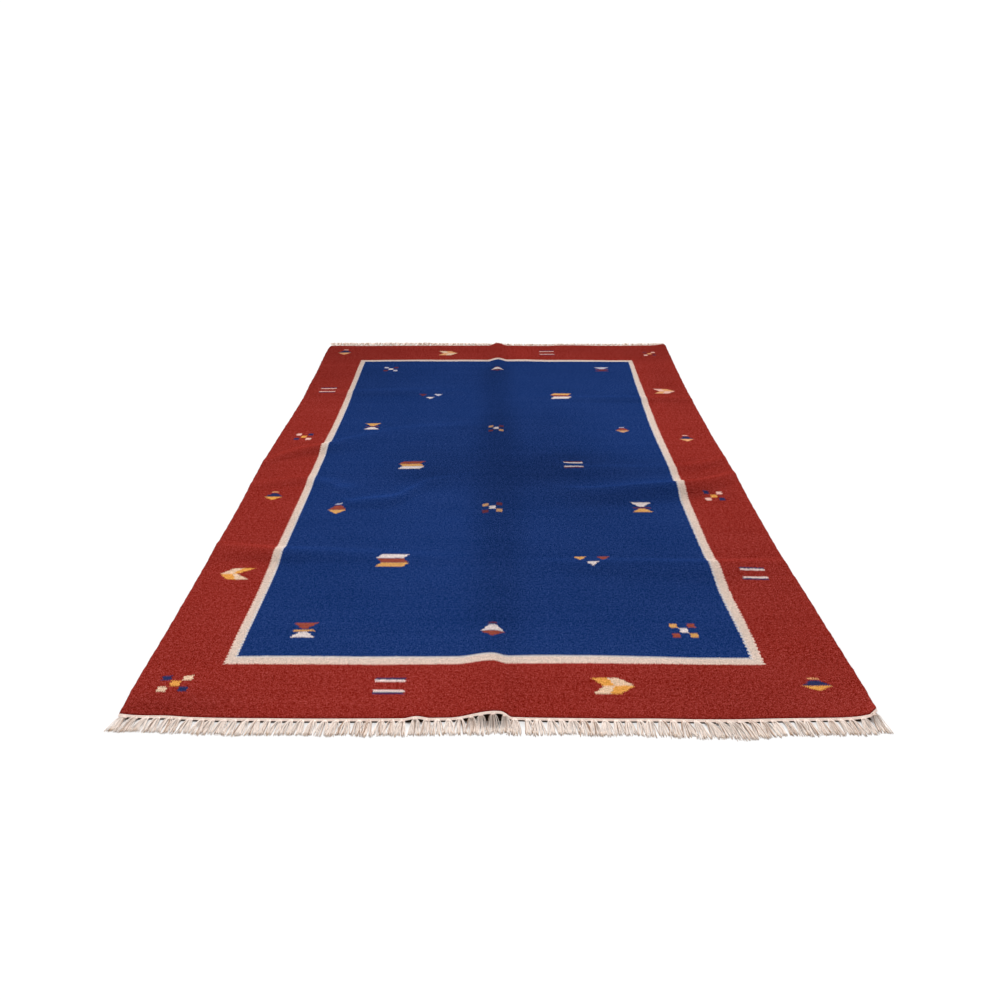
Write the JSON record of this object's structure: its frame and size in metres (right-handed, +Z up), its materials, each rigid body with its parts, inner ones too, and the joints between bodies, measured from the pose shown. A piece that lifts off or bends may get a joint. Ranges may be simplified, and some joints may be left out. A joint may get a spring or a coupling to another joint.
{
  "type": "flat-woven kilim rug",
  "caption": "Rectangular flat-woven wool rug lying on the floor, with a wide border, a plain field, light fold creases and knotted cotton fringes at both ends.",
  "frame": {"origin": "on the floor under the middle of the rug, fringes included", "axes": "+X across the rug, +Y along it towards the far end, +Z up from the floor"},
  "size_m": [2.0068, 3.1714, 0.0281],
  "materials": {
    "kilim_wool": "matte flat-woven wool, deep blue field, brick red border, cream band and small ornaments in red, yellow, white and blue",
    "warp_cotton": "undyed cotton warp yarn, loosely twisted"
  },
  "bodies": {
    "root": {"rug_cloth": "kilim_wool", "fringe_near": "warp_cotton", "fringe_far": "warp_cotton"}
  },
  "joints": []
}
